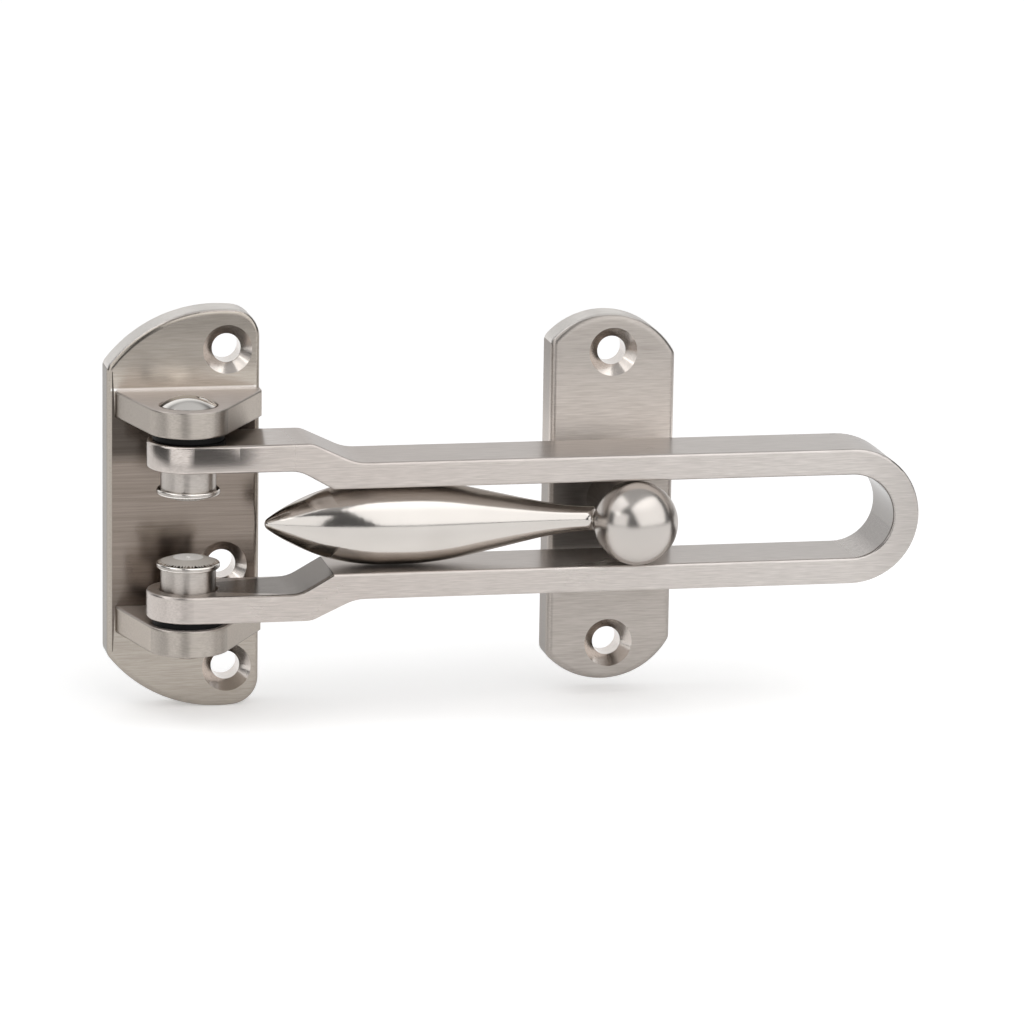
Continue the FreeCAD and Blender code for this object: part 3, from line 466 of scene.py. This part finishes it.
# Satin finishes: dark tone, light tone, edge tint, spread across the lines, roughness and change.
SATIN = {
    "bar": ((0.49, 0.458, 0.432), (0.648, 0.606, 0.577), 0.86, BAR_SPREAD, (0.27, 0.30), bar_change),
    # A far darker copy of the bar's finish on the lower arm's upward inner faces near the pin: painted
    # shade.
    "bend": ((0.165, 0.143, 0.125), (0.225, 0.20, 0.18), 0.86, BAR_SPREAD, (0.24, 0.28)),
    # A lighter copy of the plates' finish on their arched tops: painted light.
    "arch": ((0.68, 0.65, 0.615), (0.81, 0.78, 0.75), 0.86, 0.8, (0.38, 0.42)),
    # A lighter copy of the ear finish on the hinge plate's upward faces: painted light.
    "ear_top_painted_light": ((0.53, 0.48, 0.445), (0.68, 0.62, 0.58), 0.86, 0.8, (0.38, 0.42)),
    "ear": ((0.41, 0.37, 0.33), (0.53, 0.485, 0.44), 0.6, 1.0, (0.36, 0.40)),
    # A lighter copy of the ear finish on the ears' flanks: painted light.
    "flank": ((0.50, 0.448, 0.396), (0.65, 0.588, 0.527), 0.6, 1.0, (0.36, 0.40)),
    "hinge": ((0.46, 0.41, 0.3575), (0.585, 0.533, 0.4745), 0.55, 0.6, (0.19, 0.24), hinge_painted_shading),
    "keeper": ((0.65, 0.59, 0.54), (0.84, 0.774, 0.72), 0.6, 0.9, (0.32, 0.36), keeper_painted_shading),
    "pin": ((0.44, 0.405, 0.375), (0.56, 0.52, 0.485), 0.7, 1.0, (0.30, 0.34)),
}

# Polished finishes: dark tone, light tone and roughness.
POLISHED = {
    "polished": ((0.60, 0.565, 0.53), (0.66, 0.625, 0.59), (0.12, 0.17)),
    "ball": ((0.52, 0.485, 0.455), (0.575, 0.54, 0.51), (0.20, 0.26)),
    # A much lighter copy of polished nickel on the pins' domed ends: painted light.
    "dome": ((0.84, 0.81, 0.77), (0.90, 0.87, 0.83), (0.06, 0.10)),
}


def dress(node, material, *others):
    """Give a node its material, and others to the facets that pass their tests."""
    mesh = nodes[node].data
    mesh.materials.clear()
    mesh.materials.append(material)
    for index, (other, test) in enumerate(others, 1):
        mesh.materials.append(other)
        for facet in mesh.polygons:
            if test(facet):
                facet.material_index = index


def add_materials():
    satin = {name: satin_nickel(name + "_nickel", *finish) for name, finish in SATIN.items()}
    polished = {name: polished_nickel(name + "_nickel", *finish) for name, finish in POLISHED.items()}
    # The recess's dark colours are painted shade.
    recess = smooth_nickel("recess_painted_shade_nickel", (0.215, 0.178, 0.150), (0.30, 0.255, 0.222))
    cut = cut_nickel("cut_nickel")
    turned = turned_nickel("turned_nickel")
    dark = nylon("dark_nylon")
    dress("swing_bar", satin["bar"], (satin["bend"], in_lower_bend))
    dress("hinge_plate", satin["hinge"], (recess, in_recess), (satin["ear"], on_ear),
          (satin["flank"], on_flank), (satin["ear_top_painted_light"], on_top), (satin["arch"], on_arch),
          (cut, in_countersink))
    dress("keeper_plate", satin["keeper"], (satin["arch"], on_arch), (cut, in_countersink))
    for node in ("upper_pivot_pin", "lower_pivot_pin"):
        dress(node, polished["dome"], (satin["pin"], on_pin_shank), (turned, on_pin_cap))
    dress("ball_arm", polished["polished"], (polished["ball"], on_ball))
    for node in ("upper_thrust_washer", "lower_thrust_washer"):
        dress(node, dark)
    dress("stem_screw", zinc_plate("zinc_plate"))


# The floor is nearly white under the lamps, and its own glow makes up the rest from front to back.
FLOOR_HALF = 6.0
GLOW_FRONT, GLOW_BACK = -0.25, 0.58
GLOW = ((0.0, 0.12), (0.18, 0.19), (0.28, 0.33), (0.49, 0.33), (0.70, 0.37), (0.85, 0.46), (1.0, 0.55))


def seen_white(m):
    """1 for camera, glossy and transmitted rays and 0 for the rest."""
    path = m.add("ShaderNodeLightPath").outputs
    seen = m.combine("MAXIMUM", path["Is Camera Ray"], path["Is Glossy Ray"])
    return m.combine("MAXIMUM", seen, path["Is Transmission Ray"])


def add_floor():
    low, half = cad_box[0].z, FLOOR_HALF
    mesh = bpy.data.meshes.new("floor")
    corners = [(-half, -half, low), (half, -half, low), (half, half, low), (-half, half, low)]
    mesh.from_pydata(corners, [], [(0, 1, 2, 3)])
    floor = bpy.data.objects.new("floor", mesh)
    scene.collection.objects.link(floor)
    m = Nodes("floor_white")
    paper = m.noise(m.coordinates(), 300.0, 2.0, 0.5)
    m.put(m.shader, "Base Color", m.ramp(paper, (0.0, 0.90), (1.0, 0.92)))
    m.put(m.shader, "Roughness", m.spread(paper, 0.85, 0.95))
    m.shader.inputs["Specular IOR Level"].default_value = 0.0
    m.shader.inputs["Emission Color"].default_value = (1.0, 1.0, 1.0, 1.0)
    glow = m.ramp(m.spread(m.axis("Y"), 0.0, 1.0, GLOW_FRONT, GLOW_BACK), *GLOW)
    m.put(m.shader, "Emission Strength", m.combine("MULTIPLY", glow, seen_white(m)))
    mesh.materials.append(m.material)


# Softboxes seen from the object: azimuth, elevation, width and height in degrees,
# and radiance, where 1 is white.
LAMP_REACH = 0.85
LAMP_AIM = Vector((0.05, -0.02, 0.0))
SOFTBOXES = {
    "right_box": (37.0, 37.0, 85.0, 70.0, 1.35),
    "left_low_box": (-56.0, 17.0, 42.0, 33.0, 1.15),
    "left_high_box": (-88.0, 47.0, 42.0, 40.0, 1.15),
}


def add_softbox(name, azimuth, elevation, wide, tall, radiance):
    side, rise = math.radians(azimuth), math.radians(elevation)
    away = Vector((math.sin(side) * math.cos(rise), -math.cos(side) * math.cos(rise), math.sin(rise)))
    data = bpy.data.lights.new(name, "AREA")
    data.shape = "RECTANGLE"
    data.size = 2.0 * LAMP_REACH * math.tan(math.radians(wide) / 2.0)
    data.size_y = 2.0 * LAMP_REACH * math.tan(math.radians(tall) / 2.0)
    data.energy = radiance * math.pi * data.size * data.size_y
    light = bpy.data.objects.new(name, data)
    scene.collection.objects.link(light)
    light.location = LAMP_AIM + LAMP_REACH * away
    light.rotation_euler = (-away).to_track_quat("-Z", "Y").to_euler()


# Levels of the room, and the direction components between which it turns from the front's level to another.
ROOM_FRONT, ROOM_TOP, ROOM_BACK = 0.10, 0.55, 1.0
TOP_RANGE, BACK_RANGE = (0.60, 0.90), (0.45, 0.80)


def room_level(tree, direction, limits, level):
    node = tree.nodes.new("ShaderNodeMapRange")
    node.interpolation_type = "SMOOTHSTEP"
    keys = "From Min", "From Max", "To Min", "To Max"
    for key, number in zip(keys, (*limits, ROOM_FRONT, level)):
        node.inputs[key].default_value = number
    tree.links.new(direction, node.inputs["Value"])
    return node.outputs["Result"]


def add_world():
    """White behind the object and a dim room in front of it. The camera sees white all round."""
    world = bpy.data.worlds.new("world")
    scene.world = world
    world.use_nodes = True
    tree = world.node_tree
    tree.nodes.clear()
    where = tree.nodes.new("ShaderNodeTexCoord")
    parts = tree.nodes.new("ShaderNodeSeparateXYZ")
    tree.links.new(where.outputs["Generated"], parts.inputs[0])
    level = tree.nodes.new("ShaderNodeMath")
    level.operation = "MAXIMUM"
    tree.links.new(room_level(tree, parts.outputs["Y"], BACK_RANGE, ROOM_BACK), level.inputs[0])
    tree.links.new(room_level(tree, parts.outputs["Z"], TOP_RANGE, ROOM_TOP), level.inputs[1])
    lit = tree.nodes.new("ShaderNodeBackground")
    tree.links.new(level.outputs["Value"], lit.inputs["Strength"])
    seen = tree.nodes.new("ShaderNodeBackground")
    for node in (lit, seen):
        node.inputs["Color"].default_value = (1.0, 1.0, 1.0, 1.0)
    seen.inputs["Strength"].default_value = 1.0
    path = tree.nodes.new("ShaderNodeLightPath")
    mix = tree.nodes.new("ShaderNodeMixShader")
    out = tree.nodes.new("ShaderNodeOutputWorld")
    tree.links.new(path.outputs["Is Camera Ray"], mix.inputs["Fac"])
    tree.links.new(lit.outputs[0], mix.inputs[1])
    tree.links.new(seen.outputs[0], mix.inputs[2])
    tree.links.new(mix.outputs[0], out.inputs["Surface"])


add_camera()
add_materials()
add_floor()
add_world()
for box, place in SOFTBOXES.items():
    add_softbox(box, *place)
scene.view_settings.view_transform = "Standard"
